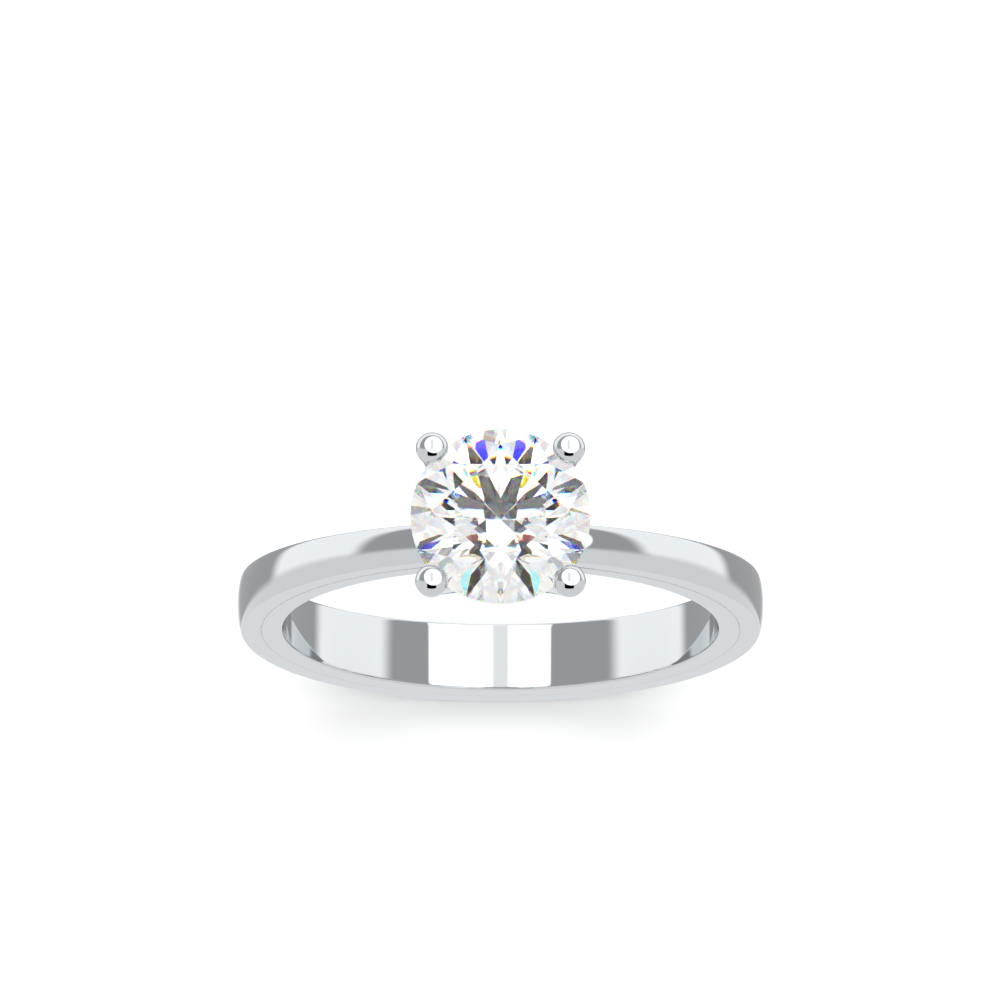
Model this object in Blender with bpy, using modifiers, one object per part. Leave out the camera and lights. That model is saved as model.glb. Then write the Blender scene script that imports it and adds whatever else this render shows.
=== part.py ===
"""Solitaire engagement ring: a tapered, domed white-metal shank carrying a four-claw head
and one round brilliant stone.

Frame: origin at the centre of the finger hole, +Y along the finger, +Z up through the stone.
Lengths are in metres.
"""

import math

import bmesh
import bpy
from mathutils import Vector

MM = 0.001

# Shank
FINGER_DIAMETER = 16.9 * MM
SHANK_THICKNESS_TOP = 1.52 * MM
SHANK_THICKNESS_BOTTOM = 2.0 * MM
SHANK_WIDTH_TOP = 1.54 * MM
SHANK_WIDTH_BOTTOM = 2.74 * MM
DOME_HEIGHT = 0.2 * MM
DOME_FULLNESS = 2.0
RIM_FILLET = 0.12 * MM

# Stone
STONE_DIAMETER = 6.55 * MM
GIRDLE_THICKNESS = 0.2 * MM
TABLE_SHARE = 0.545
CROWN_ANGLE = math.radians(34.5)
PAVILION_ANGLE = math.radians(40.9)
STAR_SHARE = 0.52
LOWER_HALF_SHARE = 0.77
CULET_CLEARANCE = 0.31 * MM

# Claws
CLAW_NECK_DIAMETER = 1.12 * MM
CLAW_BALL_OVERSIZE = 0.08 * MM
CLAW_FOOT_DIAMETER = 0.84 * MM
CLAW_OUTSET = 0.25 * MM
CLAW_RISE = 0.24 * MM
CLAW_LEAN = math.radians(19.8)
CLAW_AZIMUTHS = {
    "claw_back_right": math.radians(45),
    "claw_back_left": math.radians(135),
    "claw_front_left": math.radians(225),
    "claw_front_right": math.radians(315),
}

# Rails
BASE_RAIL_HEIGHT = 0.75 * MM
BASE_RAIL_WIDTH = 0.7 * MM
BASE_RAIL_RISE = 0.3 * MM
BASE_RAIL_FILLET = 0.16 * MM
GALLERY_RAIL_DIAMETER = 0.64 * MM
GALLERY_RAIL_RISE = 1.5 * MM
RAIL_WEB = 0.22 * MM

# Fits
SOLDER_THICKNESS = 0.12 * MM
SOLDER_FILLET = 0.1 * MM
FIT_GAP = 0.03 * MM
MERGE = 1e-7

# Finishes
METAL_COLOUR = (0.86, 0.87, 0.88)
CLAW_COLOUR = (0.88, 0.89, 0.9)
SOLDER_COLOUR = (0.82, 0.83, 0.84)
STONE_COLOUR = (1.0, 1.0, 1.0)

# Fineness of the round pieces
SHANK_STEPS = 72
DOME_STEPS = 10
FILLET_STEPS = 2
GIRDLE_STEPS = 64
ROUND_STEPS = 20
RAIL_STEPS = 56
WIRE_STEPS = 12
TIP_STEPS = 6

# What follows from the sizes above
bore_radius = FINGER_DIAMETER / 2
shank_top = bore_radius + SHANK_THICKNESS_TOP
stone_radius = STONE_DIAMETER / 2
table_radius = stone_radius * TABLE_SHARE
crown_height = (stone_radius - table_radius) * math.tan(CROWN_ANGLE)
pavilion_depth = stone_radius * math.tan(PAVILION_ANGLE)
girdle_height = shank_top + CULET_CLEARANCE + pavilion_depth + GIRDLE_THICKNESS / 2
claw_tip_radius = stone_radius + CLAW_OUTSET
claw_tip_height = girdle_height + CLAW_RISE
base_rail_top = shank_top + BASE_RAIL_RISE
base_rail_bottom = base_rail_top - BASE_RAIL_HEIGHT
gallery_rail_height = shank_top + GALLERY_RAIL_RISE


def clear_scene():
    for old in list(bpy.data.objects):
        bpy.data.objects.remove(old, do_unlink=True)


def new_collection(name):
    collection = bpy.data.collections.new(name)
    bpy.context.scene.collection.children.link(collection)
    return collection


def new_material(name, colour, roughness, metallic, transmission=0.0, ior=1.5):
    material = bpy.data.materials.new(name)
    material.use_nodes = True
    shader = material.node_tree.nodes["Principled BSDF"]
    shader.inputs["Base Color"].default_value = (*colour, 1.0)
    shader.inputs["Roughness"].default_value = roughness
    shader.inputs["Metallic"].default_value = metallic
    shader.inputs["Transmission Weight"].default_value = transmission
    shader.inputs["IOR"].default_value = ior
    return material


def new_object(name, mesh, collection, material=None):
    piece = bpy.data.objects.new(name, mesh)
    collection.objects.link(piece)
    if material:
        mesh.materials.append(material)
    return piece


def mark_cutter(cutter):
    cutter.hide_render = True
    cutter.display_type = "WIRE"
    return cutter


def mesh_from(name, bm):
    bmesh.ops.recalc_face_normals(bm, faces=bm.faces)
    mesh = bpy.data.meshes.new(name)
    bm.to_mesh(mesh)
    bm.free()
    return mesh


def boolean(piece, cutter, operation):
    modifier = piece.modifiers.new(cutter.name, "BOOLEAN")
    modifier.operation = operation
    modifier.solver = "EXACT"
    modifier.object = cutter


def arc(centre, radius, start, end, steps):
    """Points of an arc, from one angle to another, in degrees."""
    points = []
    for i in range(steps + 1):
        angle = math.radians(start + (end - start) * i / steps)
        points.append((centre[0] + radius * math.cos(angle), centre[1] + radius * math.sin(angle)))
    return points


def box_mesh(name, low, high):
    bm = bmesh.new()
    bmesh.ops.create_cube(bm, size=1.0)
    for vert in bm.verts:
        for axis in range(3):
            middle = (low[axis] + high[axis]) / 2
            vert.co[axis] = middle + vert.co[axis] * (high[axis] - low[axis])
    return mesh_from(name, bm)


def turned_object(name, profile, steps, collection, material=None):
    """A round piece: a profile of (radius, height) points, outer side top to bottom."""
    mesh = bpy.data.meshes.new(name)
    count = len(profile)
    edges = [(i, i + 1) for i in range(count - 1)]
    if profile[0][0] > MERGE:
        edges.append((count - 1, 0))
    mesh.from_pydata([(radius, 0, height) for radius, height in profile], edges, [])
    piece = new_object(name, mesh, collection, material)
    screw = piece.modifiers.new("turning", "SCREW")
    screw.axis = "Z"
    screw.steps = steps
    screw.render_steps = steps
    screw.use_merge_vertices = True
    screw.merge_threshold = MERGE
    screw.use_smooth_shade = True
    return piece


# The shank

def shank_thickness(angle):
    """Wall of the shank at an angle from the top, round the finger."""
    share = (1 - math.cos(angle)) / 2
    return SHANK_THICKNESS_TOP + (SHANK_THICKNESS_BOTTOM - SHANK_THICKNESS_TOP) * share


def shank_half_width(height):
    """The two side faces are planes, nearer each other at the top."""
    middle = (SHANK_WIDTH_TOP + SHANK_WIDTH_BOTTOM) / 4
    slope = (SHANK_WIDTH_BOTTOM - SHANK_WIDTH_TOP) / 4 / bore_radius
    return middle - slope * height


def shank_section(angle, grow):
    """Half a section, as (radius, half width) points from the bore to the crest of the dome."""
    outer = bore_radius + shank_thickness(angle)
    shoulder = outer - DOME_HEIGHT
    cosine = math.cos(angle)
    inner = bore_radius - grow
    points = []
    for i in range(FILLET_STEPS + 1):
        turn = math.radians(90) * i / FILLET_STEPS
        radius = inner + RIM_FILLET * (1 - math.cos(turn))
        inset = RIM_FILLET * (1 - math.sin(turn))
        points.append((radius, shank_half_width(radius * cosine) + grow - inset))
    shoulder_width = shank_half_width(shoulder * cosine) + grow
    for i in range(DOME_STEPS + 1):
        turn = math.radians(90) * i / DOME_STEPS
        radius = shoulder + (DOME_HEIGHT + grow) * math.sin(turn) ** (2 / DOME_FULLNESS)
        points.append((radius, shoulder_width * math.cos(turn) ** (2 / DOME_FULLNESS)))
    return points


def shank_mesh(name, grow=0.0):
    """A loft of the section round the finger hole."""
    bm = bmesh.new()
    rings = []
    for step in range(SHANK_STEPS):
        angle = 2 * math.pi * step / SHANK_STEPS
        half = shank_section(angle, grow)
        outline = half + [(radius, -width) for radius, width in reversed(half[:-1])]
        sine, cosine = math.sin(angle), math.cos(angle)
        rings.append([bm.verts.new((r * sine, y, r * cosine)) for r, y in outline])
    for ring, following in zip(rings, rings[1:] + rings[:1]):
        count = len(ring)
        for i in range(count):
            j = (i + 1) % count
            bm.faces.new((ring[i], ring[j], following[j], following[i]))
    mesh = mesh_from(name, bm)
    mesh.shade_smooth()
    mesh.set_sharp_from_angle(angle=math.radians(40))
    return mesh


# The stone

def stone_points():
    """Radius and height of a brilliant's corners, from the girdle's middle plane."""
    half_girdle = GIRDLE_THICKNESS / 2
    between = math.cos(math.radians(22.5))
    star_radius = table_radius * between
    star_radius += STAR_SHARE * (stone_radius - star_radius)
    star_height = half_girdle + (stone_radius - star_radius * between) * math.tan(CROWN_ANGLE)
    lower_radius = (1 - LOWER_HALF_SHARE) * stone_radius
    lower_height = (stone_radius - lower_radius * between) * math.tan(PAVILION_ANGLE)
    return {
        "table": (table_radius, half_girdle + crown_height),
        "star": (star_radius, star_height),
        "upper_girdle": (stone_radius, half_girdle),
        "lower_girdle": (stone_radius, -half_girdle),
        "lower": (lower_radius, -half_girdle - lower_height),
        "culet": (0.0, -half_girdle - pavilion_depth),
    }


def at_azimuth(point, degrees):
    radius, height = point
    turn = math.radians(degrees)
    return (radius * math.cos(turn), radius * math.sin(turn), height)


def grind(bm, corners):
    """Cut one flat facet through three points and keep the side of the stone's middle."""
    a, b, c = (Vector(point) for point in corners)
    normal = (b - a).cross(c - a).normalized()
    if normal.dot(a) < 0:
        normal.negate()
    geometry = bm.verts[:] + bm.edges[:] + bm.faces[:]
    cut = bmesh.ops.bisect_plane(
        bm, geom=geometry, dist=MERGE, plane_co=a, plane_no=normal, clear_outer=True
    )
    rim = [item for item in cut["geom_cut"] if isinstance(item, bmesh.types.BMEdge)]
    bmesh.ops.contextual_create(bm, geom=rim)


def stone_mesh(name):
    """A round brilliant, ground from a round blank facet by facet: table, 8 stars,
    8 crown mains, 16 upper halves, 8 pavilion mains and 16 lower halves.
    """
    corner = stone_points()
    top = corner["table"][1]
    bottom = corner["culet"][1]
    bm = bmesh.new()
    bmesh.ops.create_cone(
        bm,
        cap_ends=True,
        segments=GIRDLE_STEPS,
        radius1=stone_radius,
        radius2=stone_radius,
        depth=top - bottom,
    )
    bmesh.ops.translate(bm, verts=bm.verts, vec=(0, 0, (top + bottom) / 2))
    for i in range(8):
        main = 22.5 + 45 * i
        side = main + 22.5
        following = main + 45
        table = at_azimuth(corner["table"], main)
        star = at_azimuth(corner["star"], side)
        before = at_azimuth(corner["star"], side - 45)
        grind(bm, (table, star, before))
        grind(bm, (table, star, at_azimuth(corner["table"], following)))
        for end in (main, following):
            edge = corner["upper_girdle"]
            grind(bm, (star, at_azimuth(edge, end), at_azimuth(edge, side)))
        lower = at_azimuth(corner["lower"], side)
        earlier = at_azimuth(corner["lower"], side - 45)
        grind(bm, (at_azimuth(corner["culet"], main), lower, earlier))
        for end in (main, following):
            edge = corner["lower_girdle"]
            grind(bm, (lower, at_azimuth(edge, end), at_azimuth(edge, side)))
    bmesh.ops.remove_doubles(bm, verts=bm.verts, dist=MERGE)
    bmesh.ops.translate(bm, verts=bm.verts, vec=(0, 0, girdle_height))
    return mesh_from(name, bm)


def seat_profile():
    """The stone's outline turned round its axis, a little larger, to cut its seat."""
    corner = stone_points()
    order = ("table", "star", "upper_girdle", "lower_girdle", "lower", "culet")
    face_distance = stone_radius * math.sin(CROWN_ANGLE)
    growth = 1 + FIT_GAP / face_distance
    points = [(0.0, corner["table"][1])] + [corner[key] for key in order]
    return [(radius * growth, girdle_height + height * growth) for radius, height in points]


# The claws and rails

def claw_axis_radius(height):
    """Distance of a claw's centre line from the stone's axis at a height."""
    return claw_tip_radius - (claw_tip_height - height) * math.tan(CLAW_LEAN)


def claw_radius(height):
    """Thickness of a claw at a height, from its neck to its foot."""
    share = (claw_tip_height - height) / (claw_tip_height - base_rail_bottom)
    return (CLAW_NECK_DIAMETER + (CLAW_FOOT_DIAMETER - CLAW_NECK_DIAMETER) * share) / 2


def claw_profile(grow=0.0):
    """A tapered wire under a round tip. The tip's centre is at zero height."""
    neck = CLAW_NECK_DIAMETER / 2 + grow
    ball = neck + CLAW_BALL_OVERSIZE / 2
    foot = CLAW_FOOT_DIAMETER / 2 + grow
    length = (claw_tip_height - base_rail_bottom) / math.cos(CLAW_LEAN)
    end = -length - CLAW_FOOT_DIAMETER / 2 - grow
    neck_angle = -math.degrees(math.acos(neck / ball))
    points = [(0.0, ball)] + arc((0.0, 0.0), ball, 75, neck_angle, TIP_STEPS)
    return points + [(foot, -length), (foot, end), (0.0, end)]


def place_claw(claw, azimuth):
    claw.location = (
        claw_tip_radius * math.cos(azimuth),
        claw_tip_radius * math.sin(azimuth),
        claw_tip_height,
    )
    claw.rotation_euler = (0, CLAW_LEAN, azimuth)


def base_rail_profile(outer):
    """A band with rounded edges, outer side top to bottom."""
    fillet = BASE_RAIL_FILLET
    inner = outer - BASE_RAIL_WIDTH
    high, low = base_rail_top - fillet, base_rail_bottom + fillet
    points = arc((outer - fillet, high), fillet, 90, 0, FILLET_STEPS)
    points += arc((outer - fillet, low), fillet, 0, -90, FILLET_STEPS)
    points += arc((inner + fillet, low), fillet, -90, -180, FILLET_STEPS)
    points += arc((inner + fillet, high), fillet, 180, 90, FILLET_STEPS)
    return points


def gallery_rail_profile(ring_radius):
    """A round wire, outer side top to bottom."""
    centre = (ring_radius, gallery_rail_height)
    return arc(centre, GALLERY_RAIL_DIAMETER / 2, 90, -270, WIRE_STEPS)[:-1]


def notch_radius(height):
    """The claws' notches in a rail reach in to this distance from the stone's axis."""
    return claw_axis_radius(height) - claw_radius(height) / math.cos(CLAW_LEAN) - FIT_GAP


def build_claws(ring, cutters):
    """Four claws, each seated under the stone, and the cutters for their notches."""
    seat = mark_cutter(turned_object("seat_cutter", seat_profile(), GIRDLE_STEPS, cutters))
    reach = STONE_DIAMETER
    block = box_mesh(
        "foot_cutter", (-reach, -reach, bore_radius / 2), (reach, reach, base_rail_bottom)
    )
    foot = mark_cutter(new_object("foot_cutter", block, cutters))
    notches = []
    for name, azimuth in CLAW_AZIMUTHS.items():
        metal = new_material(name, CLAW_COLOUR, 0.04, 1.0)
        claw = turned_object(name, claw_profile(), ROUND_STEPS, ring, metal)
        place_claw(claw, azimuth)
        boolean(claw, seat, "DIFFERENCE")
        boolean(claw, foot, "DIFFERENCE")
        notch = turned_object(name + "_notch", claw_profile(FIT_GAP), ROUND_STEPS, cutters)
        place_claw(mark_cutter(notch), azimuth)
        notches.append(notch)
    return notches


def build_rails(ring, cutters, notches):
    """The base rail straddles the shank's dome, and the gallery rail ties the claws."""
    base_outer = notch_radius(base_rail_bottom) - RAIL_WEB + BASE_RAIL_WIDTH
    metal = new_material("base_rail", METAL_COLOUR, 0.06, 1.0)
    base = turned_object("base_rail", base_rail_profile(base_outer), RAIL_STEPS, ring, metal)
    saddle = shank_mesh("saddle_cutter", SOLDER_THICKNESS)
    boolean(base, mark_cutter(new_object("saddle_cutter", saddle, cutters)), "DIFFERENCE")

    gallery_radius = notch_radius(gallery_rail_height) - RAIL_WEB + GALLERY_RAIL_DIAMETER / 2
    metal = new_material("gallery_rail", METAL_COLOUR, 0.06, 1.0)
    profile = gallery_rail_profile(gallery_radius)
    gallery = turned_object("gallery_rail", profile, RAIL_STEPS, ring, metal)
    for notch in notches:
        boolean(base, notch, "DIFFERENCE")
        boolean(gallery, notch, "DIFFERENCE")
    return base_outer


def build_solder(ring, cutters, base_outer):
    """Two seams of solder, where the base rail crosses the shank."""
    over = shank_mesh("solder_over", SOLDER_THICKNESS - FIT_GAP)
    over = mark_cutter(new_object("solder_over", over, cutters))
    under = shank_mesh("solder_under", FIT_GAP)
    under = mark_cutter(new_object("solder_under", under, cutters))
    for name, side in (("solder_left", -1), ("solder_right", 1)):
        near = (base_outer - BASE_RAIL_WIDTH - SOLDER_FILLET) * side
        far = (base_outer + SOLDER_FILLET) * side
        block = box_mesh(
            name,
            (min(near, far), -SHANK_WIDTH_BOTTOM, base_rail_bottom - SOLDER_FILLET),
            (max(near, far), SHANK_WIDTH_BOTTOM, base_rail_top),
        )
        seam = new_object(name, block, ring, new_material(name, SOLDER_COLOUR, 0.12, 1.0))
        boolean(seam, over, "INTERSECT")
        boolean(seam, under, "DIFFERENCE")


def build():
    clear_scene()
    ring = new_collection("engagement_ring")
    cutters = new_collection("cutters")
    metal = new_material("shank", METAL_COLOUR, 0.05, 1.0)
    new_object("shank", shank_mesh("shank"), ring, metal)
    crystal = new_material("stone", STONE_COLOUR, 0.0, 0.0, 1.0, 2.42)
    new_object("stone", stone_mesh("stone"), ring, crystal)
    notches = build_claws(ring, cutters)
    base_outer = build_rails(ring, cutters, notches)
    build_solder(ring, cutters, base_outer)


build()
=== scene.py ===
"""Looks of a solitaire engagement ring: a mirror-polished, rhodium-plated white gold shank and
claw head that hold one round brilliant diamond, on a white table under soft studio light.

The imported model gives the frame: origin at the centre of the finger hole, +Y along the finger,
+Z up through the stone. Lengths are in metres.
"""

import math

import bmesh
import bpy
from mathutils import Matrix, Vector


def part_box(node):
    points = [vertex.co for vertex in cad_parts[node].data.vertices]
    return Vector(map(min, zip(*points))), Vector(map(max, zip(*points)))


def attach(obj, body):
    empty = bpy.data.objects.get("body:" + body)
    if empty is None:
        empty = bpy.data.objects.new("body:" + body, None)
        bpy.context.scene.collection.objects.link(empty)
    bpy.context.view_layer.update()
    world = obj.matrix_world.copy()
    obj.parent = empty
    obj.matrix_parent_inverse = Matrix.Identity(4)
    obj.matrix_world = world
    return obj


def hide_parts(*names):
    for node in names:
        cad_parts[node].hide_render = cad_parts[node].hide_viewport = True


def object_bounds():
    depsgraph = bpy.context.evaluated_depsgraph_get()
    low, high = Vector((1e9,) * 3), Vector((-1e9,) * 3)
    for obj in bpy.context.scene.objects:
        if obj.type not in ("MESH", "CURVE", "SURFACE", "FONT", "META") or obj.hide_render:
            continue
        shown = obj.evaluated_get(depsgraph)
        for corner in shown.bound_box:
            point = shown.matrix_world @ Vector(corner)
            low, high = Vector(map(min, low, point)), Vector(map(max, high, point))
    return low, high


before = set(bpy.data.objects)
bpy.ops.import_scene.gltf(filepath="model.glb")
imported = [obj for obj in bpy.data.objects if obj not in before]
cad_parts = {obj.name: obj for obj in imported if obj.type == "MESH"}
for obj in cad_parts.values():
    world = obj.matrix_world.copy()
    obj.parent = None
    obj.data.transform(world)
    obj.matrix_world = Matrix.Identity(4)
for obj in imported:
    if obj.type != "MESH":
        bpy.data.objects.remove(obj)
cad_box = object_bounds()

MM = 0.001
MERGE = 1e-7

# The shank's section, as the goldsmith files it
FINGER_DIAMETER = 16.9 * MM
SHANK_WIDTH_TOP = 1.54 * MM
SHANK_WIDTH_BOTTOM = 2.74 * MM
DOME_HEIGHT = 0.2 * MM
DOME_FULLNESS = 2.0
RIM_SQUARENESS = 45.0

# The head
CLAW_NECK_DIAMETER = 1.12 * MM
CLAW_FOOT_DIAMETER = 0.84 * MM
CLAW_TIP_DIAMETER = 1.2 * MM
CLAW_TIP_BELT = 0.02 * MM
CLAW_DOME_RADIUS = 1.15 * MM
CLAW_SHOULDER_RADIUS = 0.33 * MM
CLAW_LEAN = math.radians(19.8)
CLAW_OUTSET = 0.25 * MM
CLAW_RISE = 0.24 * MM
SEAT_PLAY = 1.004
CLAWS = {
    "claw_back_right": 45,
    "claw_back_left": 135,
    "claw_front_left": 225,
    "claw_front_right": 315,
}
BAND_SQUARENESS = 5.0
WIRE_SQUARENESS = 2.0
GIRDLE_THICKNESS = 0.2 * MM
PAVILION_ANGLE = math.radians(40.9)
SHARP_ANGLE = math.radians(35)
FACET_FLATNESS = math.radians(0.4)
BASE_RAIL_WIDTH = 0.7 * MM

# Finishes
POLISH_PITCH = 0.05 * MM
SOLDER_PITCH = 0.08 * MM
DIAMOND_IOR = 2.42
# The diamond's IOR for red, green and blue light
DIAMOND_FIRE = (("#F00000", 2.37), ("#00F000", 2.42), ("#0000F0", 2.49))

# The camera, in front of the ring and high above it
CAMERA_ELEVATION = math.radians(75.78)
CAMERA_DISTANCE = 200 * MM
CAMERA_RAISE = 4.10 * MM
LENS = 185.4
CAMERA_SHIFT = -0.0005
FLOOR_RADIUS = 2.0

# The studio: a plain pale tent, with a grey card and a bright card behind the ring. Each card
# is (brightness, half width in degrees round from the back, (lower, upper edge in elevation)).
TENT = 1.0
BACK_CARDS = (
    (0.5, 75.0, (-65, 60)),
    (1.4, 75.0, (-20, 20)),
)
CARD_BLUR = 10.0
SOFTBOX = 1.9
SOFTBOX_RADIUS = 32.0
SOFTBOX_AXIS = Vector((0.0975, 0.356, 0.929))
# Brightness, half width sideways and the two ends in degrees forwards from overhead
LENS_HOOD = (0.0, 16.0, (0.0, 23.0))
SOFTBOX_BRACE = (1.25, 3.0, (-36, -5))
# The table gets this much more of the light than the ring does
TABLE_FILL = 0.35
# The stone is lit with a round black card over it, as a cutter shows its pattern
STONE_CARD = 0.05
STONE_CARD_RADIUS = 16.8
STONE_CARD_AXIS = Vector((0.0, -0.191, 0.982))

# What follows from the frame
shank_low, shank_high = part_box("shank")
stone_low, stone_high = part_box("stone")
bore_radius = FINGER_DIAMETER / 2
stone_radius = stone_high.x
pavilion_depth = stone_radius * math.tan(PAVILION_ANGLE)
girdle_height = stone_low.z + pavilion_depth + GIRDLE_THICKNESS / 2
claw_tip_radius = stone_radius + CLAW_OUTSET
claw_tip_height = girdle_height + CLAW_RISE
claw_foot_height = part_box("base_rail")[0].z

FLOAT = "NodeSocketFloat"
COUNT = "NodeSocketInt"
OBJECT = "NodeSocketObject"
MATH = "ShaderNodeMath"
VECTOR_MATH = "ShaderNodeVectorMath"


def linear(hex_colour):
    """An sRGB hex colour as linear red, green, blue and alpha."""
    values = [int(hex_colour[i:i + 2], 16) / 255 for i in (1, 3, 5)]
    return [v / 12.92 if v <= 0.04045 else ((v + 0.055) / 1.055) ** 2.4 for v in values] + [1.0]


def add(tree, kind, inputs=(), **settings):
    """Adds a node with its settings. Its inputs are named in a dictionary or listed in order,
    and each is a value, a socket, or a node whose first output is meant.
    """
    node = tree.nodes.new(kind)
    for name, value in settings.items():
        setattr(node, name, value)
    pairs = inputs.items() if isinstance(inputs, dict) else enumerate(inputs)
    for key, value in pairs:
        if isinstance(value, bpy.types.Node):
            value = value.outputs[0]
        if isinstance(value, bpy.types.NodeSocket):
            tree.links.new(value, node.inputs[key])
        else:
            node.inputs[key].default_value = value
    return node


# Materials

def new_material(name):
    material = bpy.data.materials.new(name)
    material.use_nodes = True
    material.node_tree.nodes.clear()
    return material, material.node_tree


def mirror_metal(name, colour, roughness, polish_pitch):
    """Rhodium over white gold, buffed to a mirror: a cool pale reflection, a metal's own IOR,
    and fine buffing marks that only spread the brightest glints a little.
    """
    material, tree = new_material(name)
    place = add(tree, "ShaderNodeTexCoord")
    marks = add(tree, "ShaderNodeTexNoise", {
        "Vector": place.outputs["Object"], "Scale": 1 / polish_pitch, "Detail": 3.0,
    })
    rough = add(tree, "ShaderNodeMapRange", {
        "Value": marks.outputs["Fac"], "To Min": roughness * 0.7, "To Max": roughness * 1.3,
    })
    shader = add(tree, "ShaderNodeBsdfPrincipled", {
        "Base Color": linear(colour), "Metallic": 1.0, "Roughness": rough,
    })
    add(tree, "ShaderNodeOutputMaterial", {"Surface": shader})
    return material


def diamond(name):
    """Colourless diamond, cut and polished: clear, IOR 2.42. Where light enters, its red, green
    and blue are bent by different amounts, which gives the coloured flashes of a real stone.
    The glare on the facets that face the lens is dim, as behind a polarising filter.
    """
    material, tree = new_material(name)
    split = add(tree, "ShaderNodeBsdfAnisotropic", {
        "Color": linear("#2A2A2A"), "Roughness": 0.0,
    })
    for colour, ior in DIAMOND_FIRE:
        bent = add(tree, "ShaderNodeBsdfRefraction", {
            "Color": linear(colour), "Roughness": 0.0, "IOR": ior,
        })
        split = add(tree, "ShaderNodeAddShader", (split, bent))
    whole = add(tree, "ShaderNodeBsdfGlass", {
        "Color": linear("#FFFFFF"), "Roughness": 0.0, "IOR": DIAMOND_IOR,
    })
    # The Math node turns the camera-ray flag into the mix: the first hit seen from the camera
    # takes the split shader, later hits plain glass. The Math node keeps the exporter from
    # reading the stone as an unlit surface
    seen = add(tree, "ShaderNodeLightPath").outputs["Is Camera Ray"]
    first = add(tree, MATH, (seen, 0.5), operation="GREATER_THAN")
    shader = add(tree, "ShaderNodeMixShader", {0: first, 1: whole, 2: split})
    add(tree, "ShaderNodeOutputMaterial", {"Surface": shader})
    return material


def white_table(name):
    """Matt white card under the ring."""
    material, tree = new_material(name)
    shader = add(tree, "ShaderNodeBsdfDiffuse", {"Color": linear("#F4F4F4")})
    add(tree, "ShaderNodeOutputMaterial", {"Surface": shader})
    return material


# Geometry Nodes

def new_tree(name, **sizes):
    """A geometry tree with its named sizes as inputs, and their sockets by name."""
    tree = bpy.data.node_groups.new(name, "GeometryNodeTree")
    tree.interface.new_socket("Geometry", in_out="OUTPUT", socket_type="NodeSocketGeometry")
    for size, kind in sizes.items():
        tree.interface.new_socket(size, in_out="INPUT", socket_type=kind)
    return tree, add(tree, "NodeGroupInput").outputs


def finish_tree(tree, geometry, material):
    """Ends a tree in one smooth, merged mesh with its material."""
    merged = add(tree, "GeometryNodeMergeByDistance", {"Geometry": geometry, "Distance": MERGE})
    smooth = add(tree, "GeometryNodeSetShadeSmooth", {"Geometry": merged})
    real = add(tree, "GeometryNodeRealizeInstances", {"Geometry": smooth})
    painted = add(tree, "GeometryNodeSetMaterial", {"Geometry": real, "Material": material})
    add(tree, "NodeGroupOutput", {"Geometry": painted})
    return tree


def grow(name, tree, **sizes):
    """Runs a tree with its sizes and keeps the result as a plain mesh."""
    piece = bpy.data.objects.new(name, bpy.data.meshes.new(name))
    bpy.context.scene.collection.objects.link(piece)
    modifier = piece.modifiers.new(name, "NODES")
    modifier.node_group = tree
    for socket in tree.interface.items_tree:
        if socket.in_out == "INPUT":
            modifier[socket.identifier] = sizes[socket.name]
    evaluated = piece.evaluated_get(bpy.context.evaluated_depsgraph_get())
    mesh = bpy.data.meshes.new_from_object(evaluated)
    piece.modifiers.clear()
    piece.data = mesh
    bm = bmesh.new()
    bm.from_mesh(mesh)
    bmesh.ops.recalc_face_normals(bm, faces=bm.faces)
    bm.to_mesh(mesh)
    bm.free()
    mesh.set_sharp_from_angle(angle=SHARP_ANGLE)
    return piece


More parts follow.
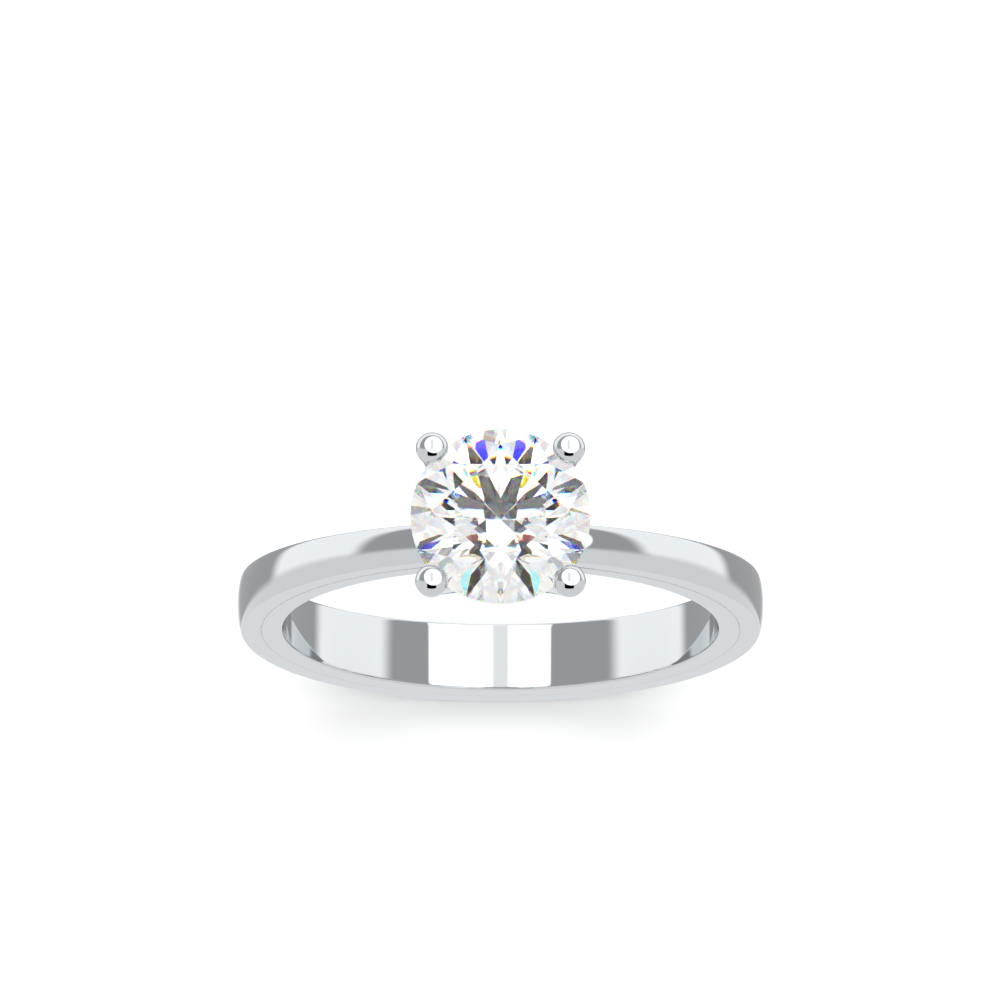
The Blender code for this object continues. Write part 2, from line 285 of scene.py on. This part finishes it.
def shank_tree(material):
    """A loft round the finger. Its wall and width change smoothly from top to bottom, its outer
    side is a low dome, and its inner side is flat with tight rims.
    """
    tree, size = new_tree(
        "tapered_domed_shank", bore_radius=FLOAT, wall_top=FLOAT, wall_bottom=FLOAT,
        half_width_top=FLOAT, half_width_bottom=FLOAT, dome_height=FLOAT, dome_fullness=FLOAT,
        rim_squareness=FLOAT, steps_round=COUNT, steps_across=COUNT,
    )
    # The sheet's x is the angle round the finger from the top, and its y is the angle round
    # the section, from the bore's middle over one rim, the crest and the other rim.
    sheet = add(tree, "GeometryNodeMeshGrid", {
        "Size X": math.tau, "Size Y": math.tau,
        "Vertices X": size["steps_round"], "Vertices Y": size["steps_across"],
    })
    angles = add(tree, "GeometryNodeInputPosition")
    sines = add(tree, VECTOR_MATH, (angles,), operation="SINE")
    sines = add(tree, "ShaderNodeSeparateXYZ", (sines,)).outputs
    cosines = add(tree, VECTOR_MATH, (angles,), operation="COSINE")
    cosines = add(tree, "ShaderNodeSeparateXYZ", (cosines,)).outputs
    side, up = sines["X"], cosines["X"]
    section = add(tree, "ShaderNodeCombineXYZ", (sines["Y"], cosines["Y"]))
    is_dome = add(tree, MATH, (sines["Y"], 0.0), operation="GREATER_THAN")
    fullness = add(tree, "ShaderNodeMix", {
        "Factor": is_dome, "A": size["rim_squareness"], "B": size["dome_fullness"],
    })
    power = add(tree, MATH, (2.0, fullness), operation="DIVIDE")
    sign = add(tree, VECTOR_MATH, (section,), operation="SIGN")
    bare = add(tree, VECTOR_MATH, (section,), operation="ABSOLUTE")
    bare = add(tree, VECTOR_MATH, (bare, power), operation="POWER")
    section = add(tree, VECTOR_MATH, (sign, bare), operation="MULTIPLY")
    section = add(tree, "ShaderNodeSeparateXYZ", (section,)).outputs
    outward, across = section["X"], section["Y"]

    share = add(tree, MATH, (up, -0.5, 0.5), operation="MULTIPLY_ADD")
    wall = add(tree, "ShaderNodeMix", {
        "Factor": share, "A": size["wall_top"], "B": size["wall_bottom"],
    })
    flat_wall = add(tree, MATH, (wall, size["dome_height"]), operation="SUBTRACT")
    shoulder = add(tree, MATH, (size["bore_radius"], flat_wall), operation="ADD")
    reach = add(tree, "ShaderNodeMix", {
        "Factor": is_dome, "A": flat_wall, "B": size["dome_height"],
    })
    radius = add(tree, MATH, (outward, reach, shoulder), operation="MULTIPLY_ADD")
    side_radius = add(tree, MATH, (radius, shoulder), operation="MINIMUM")
    level = add(tree, MATH, (side_radius, up), operation="MULTIPLY")
    lowest = add(tree, MATH, (size["bore_radius"], -1.0), operation="MULTIPLY")
    half_width = add(tree, "ShaderNodeMapRange", {
        "Value": level, "From Min": lowest, "From Max": size["bore_radius"],
        "To Min": size["half_width_bottom"], "To Max": size["half_width_top"],
    }, clamp=False)
    point = add(tree, "ShaderNodeCombineXYZ", {
        "X": add(tree, MATH, (radius, side), operation="MULTIPLY"),
        "Y": add(tree, MATH, (across, half_width), operation="MULTIPLY"),
        "Z": add(tree, MATH, (radius, up), operation="MULTIPLY"),
    })
    shaped = add(tree, "GeometryNodeSetPosition", {"Geometry": sheet, "Position": point})
    return finish_tree(tree, shaped, material)


def claw_tree(material):
    """A tapered wire that leans out to an upright, domed button, filed level at its foot and
    cut away where the stone sits in it.
    """
    tree, size = new_tree(
        "claw_wire", azimuth=FLOAT, lean=FLOAT, tip_out=FLOAT, tip_level=FLOAT, foot_level=FLOAT,
        length=FLOAT, foot_radius=FLOAT, neck_radius=FLOAT, shoulder=FLOAT, dome_over=FLOAT,
        dome_sine=FLOAT, dome_cosine=FLOAT, belt=FLOAT, stone=OBJECT, seat_play=FLOAT,
        seat_level=FLOAT, rows=COUNT,
    )
    # The sheet's x is the angle round the wire. Its y runs from -1 at the foot, over 0 at the
    # neck, to 1 on top of the tip.
    sheet = add(tree, "GeometryNodeMeshGrid", {
        "Size X": math.tau, "Size Y": 2.0, "Vertices X": 97, "Vertices Y": size["rows"],
    })
    angle, along, _ = add(tree, "ShaderNodeSeparateXYZ", {
        0: add(tree, "GeometryNodeInputPosition"),
    }).outputs
    cosine = add(tree, MATH, (angle,), operation="COSINE")
    sine = add(tree, MATH, (angle,), operation="SINE")
    below = add(tree, MATH, (along, 0.0), operation="MINIMUM")
    above = add(tree, MATH, (along, 0.0), operation="MAXIMUM")

    taper = add(tree, MATH, (size["neck_radius"], size["foot_radius"]), operation="SUBTRACT")
    wire = add(tree, MATH, (below, taper, size["neck_radius"]), operation="MULTIPLY_ADD")
    closing = add(tree, MATH, (along, size["rows"], size["rows"]), operation="MULTIPLY_ADD")
    closing = add(tree, MATH, (closing, 1.0), operation="MINIMUM")
    closing = add(tree, MATH, (closing, above), operation="SUBTRACT")
    wire = add(tree, MATH, (wire, closing), operation="MULTIPLY")
    wire_level = add(tree, MATH, (below, size["length"]), operation="MULTIPLY")

    # The button: a shallow dome, and a tight shoulder down to its belt
    turn = add(tree, MATH, (along, math.pi / 2), operation="MULTIPLY")
    out = add(tree, MATH, (turn,), operation="COSINE")
    dome_out = add(tree, MATH, (out, size["dome_sine"]), operation="MINIMUM")
    dome_out = add(tree, MATH, (dome_out, size["dome_over"]), operation="MULTIPLY")
    button = add(tree, MATH, (out, size["shoulder"], dome_out), operation="MULTIPLY_ADD")
    rise = add(tree, MATH, (turn,), operation="SINE")
    dome_rise = add(tree, MATH, (rise, size["dome_cosine"]), operation="MAXIMUM")
    dome_rise = add(tree, MATH, (dome_rise, size["dome_cosine"]), operation="SUBTRACT")
    dome_rise = add(tree, MATH, (dome_rise, size["dome_over"]), operation="MULTIPLY")
    is_dome = add(tree, MATH, (along, 0.0), operation="GREATER_THAN")
    raised = add(tree, MATH, (is_dome, size["belt"], dome_rise), operation="MULTIPLY_ADD")
    button_level = add(tree, MATH, (rise, size["shoulder"], raised), operation="MULTIPLY_ADD")
    # Both parts run out to a point on the axis at their ends
    is_inside = add(tree, MATH, (out, 1e-4), operation="GREATER_THAN")
    button = add(tree, MATH, (button, is_inside), operation="MULTIPLY")

    parts = []
    for radius, level, lean in (wire, wire_level, size["lean"]), (button, button_level, 0.0):
        point = add(tree, "ShaderNodeCombineXYZ", {
            "X": add(tree, MATH, (radius, cosine), operation="MULTIPLY"),
            "Y": add(tree, MATH, (radius, sine), operation="MULTIPLY"),
            "Z": level,
        })
        shaped = add(tree, "GeometryNodeSetPosition", {"Geometry": sheet, "Position": point})
        merged = add(tree, "GeometryNodeMergeByDistance", {"Geometry": shaped, "Distance": MERGE})
        parts.append(add(tree, "GeometryNodeTransform", {
            "Geometry": merged,
            "Translation": add(tree, "ShaderNodeCombineXYZ",
                               (size["tip_out"], 0.0, size["tip_level"])),
            "Rotation": add(tree, "ShaderNodeCombineXYZ", (0.0, lean, 0.0)),
        }))
    joined = add(tree, "GeometryNodeMeshBoolean", {"Mesh 2": parts[0]},
                 operation="UNION", solver="EXACT")
    tree.links.new(parts[1].outputs[0], joined.inputs["Mesh 2"])
    turned = add(tree, "GeometryNodeTransform", {
        "Geometry": joined,
        "Rotation": add(tree, "ShaderNodeCombineXYZ", (0.0, 0.0, size["azimuth"])),
    })
    stone = add(tree, "GeometryNodeObjectInfo", {"Object": size["stone"]})
    drop = add(tree, MATH, (size["seat_play"], -1.0, 1.0), operation="MULTIPLY_ADD")
    drop = add(tree, MATH, (drop, size["seat_level"]), operation="MULTIPLY")
    seat = add(tree, "GeometryNodeTransform", {
        "Geometry": stone.outputs["Geometry"], "Scale": size["seat_play"],
        "Translation": add(tree, "ShaderNodeCombineXYZ", (0.0, 0.0, drop)),
    })
    file_size = add(tree, MATH, (size["tip_level"], 2.0), operation="MULTIPLY")
    file_block = add(tree, "GeometryNodeMeshCube", {"Size": file_size})
    file_drop = add(tree, MATH, (size["foot_level"], size["tip_level"]), operation="SUBTRACT")
    file_block = add(tree, "GeometryNodeTransform", {
        "Geometry": file_block,
        "Translation": add(tree, "ShaderNodeCombineXYZ", (0.0, 0.0, file_drop)),
    })
    seated = add(tree, "GeometryNodeMeshBoolean", {"Mesh 1": turned, "Mesh 2": seat},
                 operation="DIFFERENCE", solver="EXACT")
    filed = add(tree, "GeometryNodeMeshBoolean", {"Mesh 1": seated, "Mesh 2": file_block},
                operation="DIFFERENCE", solver="EXACT")
    return finish_tree(tree, filed, material)


def rail_tree(material):
    """A closed ring of wire. Squareness 2 is a round wire, and more is a band with soft edges."""
    tree, size = new_tree(
        "head_rail", ring_radius=FLOAT, level=FLOAT, half_width=FLOAT, half_height=FLOAT,
        squareness=FLOAT, steps_round=COUNT, steps_across=COUNT,
    )
    sheet = add(tree, "GeometryNodeMeshGrid", {
        "Size X": math.tau, "Size Y": math.tau,
        "Vertices X": size["steps_round"], "Vertices Y": size["steps_across"],
    })
    angles = add(tree, "GeometryNodeInputPosition")
    sines = add(tree, VECTOR_MATH, (angles,), operation="SINE")
    sines = add(tree, "ShaderNodeSeparateXYZ", (sines,)).outputs
    cosines = add(tree, VECTOR_MATH, (angles,), operation="COSINE")
    cosines = add(tree, "ShaderNodeSeparateXYZ", (cosines,)).outputs
    section = add(tree, "ShaderNodeCombineXYZ", (cosines["Y"], sines["Y"]))
    power = add(tree, MATH, (2.0, size["squareness"]), operation="DIVIDE")
    sign = add(tree, VECTOR_MATH, (section,), operation="SIGN")
    bare = add(tree, VECTOR_MATH, (section,), operation="ABSOLUTE")
    bare = add(tree, VECTOR_MATH, (bare, power), operation="POWER")
    section = add(tree, VECTOR_MATH, (sign, bare), operation="MULTIPLY")
    out, rise, _ = add(tree, "ShaderNodeSeparateXYZ", (section,)).outputs
    radius = add(tree, MATH, (out, size["half_width"], size["ring_radius"]),
                 operation="MULTIPLY_ADD")
    point = add(tree, "ShaderNodeCombineXYZ", {
        "X": add(tree, MATH, (radius, cosines["X"]), operation="MULTIPLY"),
        "Y": add(tree, MATH, (radius, sines["X"]), operation="MULTIPLY"),
        "Z": add(tree, MATH, (rise, size["half_height"], size["level"]),
                 operation="MULTIPLY_ADD"),
    })
    shaped = add(tree, "GeometryNodeSetPosition", {"Geometry": sheet, "Position": point})
    return finish_tree(tree, shaped, material)


# Pieces

def place_piece(piece, node):
    """A finished piece takes a node's place in the frame."""
    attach(piece, "root")
    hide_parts(node)
    return piece


def build_shank(material):
    piece = grow(
        "polished_shank", shank_tree(material), bore_radius=bore_radius,
        wall_top=shank_high.z - bore_radius, wall_bottom=-shank_low.z - bore_radius,
        half_width_top=SHANK_WIDTH_TOP / 2, half_width_bottom=SHANK_WIDTH_BOTTOM / 2,
        dome_height=DOME_HEIGHT, dome_fullness=DOME_FULLNESS, rim_squareness=RIM_SQUARENESS,
        steps_round=361, steps_across=241,
    )
    return place_piece(piece, "shank")


def build_stone(material):
    """The stone keeps its cut. Each facet becomes one flat face with sharp edges."""
    bm = bmesh.new()
    bm.from_mesh(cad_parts["stone"].data)
    bmesh.ops.remove_doubles(bm, verts=bm.verts, dist=MERGE)
    bmesh.ops.dissolve_limit(bm, angle_limit=FACET_FLATNESS, verts=bm.verts, edges=bm.edges)
    for face in bm.faces:
        face.smooth = False
    mesh = bpy.data.meshes.new("brilliant_diamond")
    bm.to_mesh(mesh)
    bm.free()
    mesh.materials.append(material)
    piece = bpy.data.objects.new("brilliant_diamond", mesh)
    bpy.context.scene.collection.objects.link(piece)
    return place_piece(piece, "stone")


def build_claws(material, stone):
    tree = claw_tree(material)
    length = (claw_tip_height - claw_foot_height) / math.cos(CLAW_LEAN) + CLAW_FOOT_DIAMETER / 2
    dome_over = CLAW_DOME_RADIUS - CLAW_SHOULDER_RADIUS
    dome_sine = (CLAW_TIP_DIAMETER / 2 - CLAW_SHOULDER_RADIUS) / dome_over
    for node, azimuth in CLAWS.items():
        piece = grow(
            "polished_" + node, tree, azimuth=math.radians(azimuth), lean=CLAW_LEAN,
            tip_out=claw_tip_radius, tip_level=claw_tip_height, foot_level=claw_foot_height,
            length=length, foot_radius=CLAW_FOOT_DIAMETER / 2,
            neck_radius=CLAW_NECK_DIAMETER / 2, shoulder=CLAW_SHOULDER_RADIUS,
            dome_over=dome_over, dome_sine=dome_sine, dome_cosine=math.sqrt(1 - dome_sine ** 2),
            belt=CLAW_TIP_BELT, stone=stone, seat_play=SEAT_PLAY, seat_level=girdle_height,
            rows=180,
        )
        place_piece(piece, node)


def build_rails(material):
    tree = rail_tree(material)
    for node, squareness in (("base_rail", BAND_SQUARENESS), ("gallery_rail", WIRE_SQUARENESS)):
        low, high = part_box(node)
        height = high.z - low.z
        width = height if squareness == WIRE_SQUARENESS else BASE_RAIL_WIDTH
        piece = grow(
            "polished_" + node, tree, ring_radius=high.x - width / 2,
            level=(low.z + high.z) / 2, half_width=width / 2, half_height=height / 2,
            squareness=squareness, steps_round=193, steps_across=49,
        )
        place_piece(piece, node)


def paint_solder(material):
    for node in ("solder_left", "solder_right"):
        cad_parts[node].data.materials.clear()
        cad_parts[node].data.materials.append(material)


# The studio

def build_floor():
    bpy.ops.mesh.primitive_circle_add(vertices=96, radius=FLOOR_RADIUS, fill_type="NGON",
                                      location=(0, 0, cad_box[0].z))
    floor = bpy.context.object
    floor.name = "white_table"
    floor.data.materials.append(white_table("white_table"))
    floor.visible_glossy = False


def within(tree, value, low, high, blur=2.0):
    """1 where a value lies between two limits, 0 elsewhere, with a soft edge."""
    off = add(tree, MATH, (value, (low + high) / 2), operation="SUBTRACT")
    off = add(tree, MATH, (off,), operation="ABSOLUTE")
    half = (high - low) / 2
    return add(tree, "ShaderNodeMapRange", {
        "Value": off, "From Min": half + blur, "From Max": half,
    }, interpolation_type="SMOOTHSTEP")


def cover(tree, light, mask, level):
    """Puts one brightness over another where a mask is 1."""
    level = [level / SOFTBOX] * 3 + [1.0]
    return add(tree, "ShaderNodeMix", {"Factor": mask, 6: light, 7: level},
               data_type="RGBA").outputs[2]


def disc(tree, direction, middle, radius):
    """1 within a radius in degrees of a direction, with a soft edge."""
    axis = add(tree, VECTOR_MATH, (direction, middle), operation="DOT_PRODUCT")
    off_axis = add(tree, MATH, (axis.outputs["Value"],), operation="ARCCOSINE")
    off_axis = add(tree, MATH, (off_axis,), operation="DEGREES")
    return within(tree, off_axis, -radius, radius, 1.0)


def panel(tree, across, along, half_width, ends, blur=2.0):
    """1 inside a panel that spans a half width one way and runs between two ends the other."""
    inside = within(tree, across, -half_width, half_width, blur)
    return add(tree, MATH, (inside, within(tree, along, *ends, blur)), operation="MULTIPLY")


def build_studio_light():
    """A plain white tent lights the ring, with two cards behind it that draw the lines of
    polished metal. A round softbox hangs overhead, and the dark lens stands beside it.
    """
    world = bpy.data.worlds.new("white_tent")
    world.use_nodes = True
    tree = world.node_tree
    tree.nodes.clear()
    bpy.context.scene.world = world
    direction = add(tree, "ShaderNodeTexCoord").outputs["Generated"]
    x, y, z = add(tree, "ShaderNodeSeparateXYZ", {0: direction}).outputs
    front = add(tree, MATH, (y, -1.0), operation="MULTIPLY")
    elevation = add(tree, MATH, (z,), operation="ARCSINE")
    elevation = add(tree, MATH, (elevation,), operation="DEGREES")
    from_back = add(tree, MATH, (x, y), operation="ARCTAN2")
    from_back = add(tree, MATH, (from_back,), operation="DEGREES")
    sideways = add(tree, MATH, (x,), operation="ARCSINE")
    sideways = add(tree, MATH, (sideways,), operation="DEGREES")
    forwards = add(tree, MATH, (front, z), operation="ARCTAN2")
    forwards = add(tree, MATH, (forwards,), operation="DEGREES")

    tent = [TENT / SOFTBOX] * 3 + [1.0]
    for level, half_width, ends in BACK_CARDS:
        mask = panel(tree, from_back, elevation, half_width, ends, CARD_BLUR)
        tent = cover(tree, tent, mask, level)
    level, half_width, ends = LENS_HOOD
    tent = cover(tree, tent, panel(tree, sideways, forwards, half_width, ends), level)
    tent = cover(tree, tent, disc(tree, direction, SOFTBOX_AXIS, SOFTBOX_RADIUS), SOFTBOX)
    level, half_width, ends = SOFTBOX_BRACE
    tent = cover(tree, tent, panel(tree, sideways, forwards, half_width, ends), level)
    paths = add(tree, "ShaderNodeLightPath").outputs
    card = disc(tree, direction, STONE_CARD_AXIS, STONE_CARD_RADIUS)
    card = add(tree, MATH, (card, paths["Is Transmission Ray"]), operation="MULTIPLY")
    tent = cover(tree, tent, card, STONE_CARD)
    seen = paths["Is Camera Ray"]
    strength = add(tree, MATH, (paths["Is Diffuse Ray"], TABLE_FILL * SOFTBOX, SOFTBOX),
                   operation="MULTIPLY_ADD")
    studio = add(tree, "ShaderNodeBackground", {"Color": tent, "Strength": strength})
    plain = add(tree, "ShaderNodeBackground", {"Color": linear("#FFFFFF"), "Strength": 1.0})
    both = add(tree, "ShaderNodeMixShader", {0: seen, 1: studio, 2: plain})
    add(tree, "ShaderNodeOutputWorld", {"Surface": both})


def build_camera():
    camera = bpy.data.objects.new("camera", bpy.data.cameras.new("camera"))
    bpy.context.scene.collection.objects.link(camera)
    towards = Vector((0, -math.cos(CAMERA_ELEVATION), math.sin(CAMERA_ELEVATION)))
    picture_up = Vector((0, math.sin(CAMERA_ELEVATION), math.cos(CAMERA_ELEVATION)))
    target = picture_up * CAMERA_RAISE
    camera.location = towards * CAMERA_DISTANCE
    camera.rotation_euler = (target - camera.location).to_track_quat("-Z", "Y").to_euler()
    camera.data.lens = LENS
    camera.data.shift_x = CAMERA_SHIFT
    camera.data.sensor_width = 36
    camera.data.clip_start = 0.001
    bpy.context.scene.camera = camera


def set_light_paths():
    """Light crosses the stone many times before it leaves."""
    scene = bpy.context.scene
    scene.view_settings.view_transform = "Standard"
    scene.cycles.max_bounces = 32
    scene.cycles.transmission_bounces = 32
    scene.cycles.glossy_bounces = 12


build_floor()
build_studio_light()
build_camera()
set_light_paths()

white_gold = mirror_metal("rhodium_plated_white_gold", "#C9CDD0", 0.035, POLISH_PITCH)
claw_metal = mirror_metal("rhodium_plated_claw_wire", "#C9CDD0", 0.03, POLISH_PITCH)
solder = mirror_metal("white_gold_solder", "#C6C9CA", 0.12, SOLDER_PITCH)
build_shank(white_gold)
brilliant = build_stone(diamond("cut_diamond"))
build_claws(claw_metal, brilliant)
build_rails(white_gold)
paint_solder(solder)
